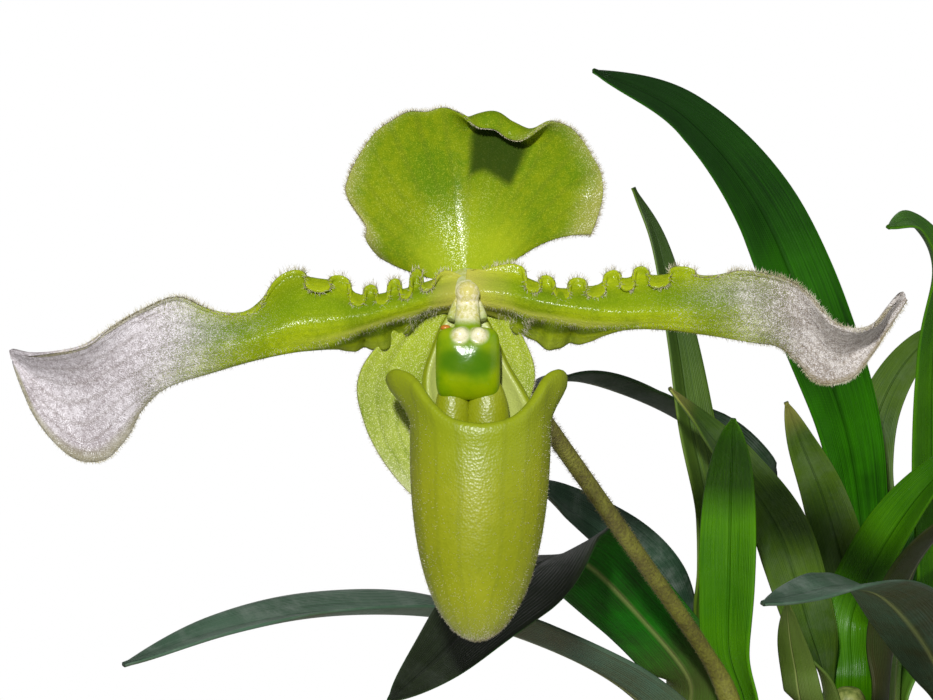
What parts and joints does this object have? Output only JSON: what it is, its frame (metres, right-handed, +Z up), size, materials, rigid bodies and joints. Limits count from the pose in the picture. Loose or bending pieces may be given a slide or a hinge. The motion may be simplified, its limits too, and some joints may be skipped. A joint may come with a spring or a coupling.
{
  "type": "potted slipper orchid",
  "caption": "Slipper orchid in bloom in a round clay pot: fans of strap leaves and one hairy green flower with a pouch-shaped lip.",
  "frame": {"origin": "centre of the underside of the pot, on the surface it stands on", "axes": "+Z up out of the pot; the flower looks toward -Y; +X to the right as one faces the flower"},
  "size_m": [0.2482, 0.2212, 0.2539],
  "materials": {
    "clay": "matte",
    "bark": "matte",
    "growth_stem": "matte",
    "leaf": "satin",
    "flower_stem": "matte",
    "ovary": "matte",
    "bract": "matte",
    "sepal": "satin",
    "petal": "satin",
    "lip": "satin",
    "column": "gloss"
  },
  "bodies": {
    "root": {"pot": "clay", "bark_mix": "bark", "growth_a_stem": "growth_stem", "growth_b_stem": "growth_stem", "growth_c_stem": "growth_stem", "growth_d_stem": "growth_stem", "growth_e_stem": "growth_stem", "leaf_a1": "leaf", "leaf_a2": "leaf", "leaf_a3": "leaf", "leaf_b1": "leaf", "leaf_b2": "leaf", "leaf_b3": "leaf", "leaf_b4": "leaf", "leaf_b5": "leaf", "leaf_b6": "leaf", "leaf_c1": "leaf", "leaf_c2": "leaf", "leaf_c3": "leaf", "leaf_c4": "leaf", "leaf_c5": "leaf", "leaf_d1": "leaf", "leaf_d2": "leaf", "leaf_d3": "leaf", "leaf_d4": "leaf", "leaf_e1": "leaf", "leaf_e2": "leaf", "leaf_e3": "leaf", "scape": "flower_stem", "ovary": "ovary", "bract": "bract", "petal_right": "petal", "petal_left": "petal", "dorsal_sepal": "sepal", "synsepal": "sepal", "lip_pouch": "lip", "column": "column"}
  },
  "joints": []
}
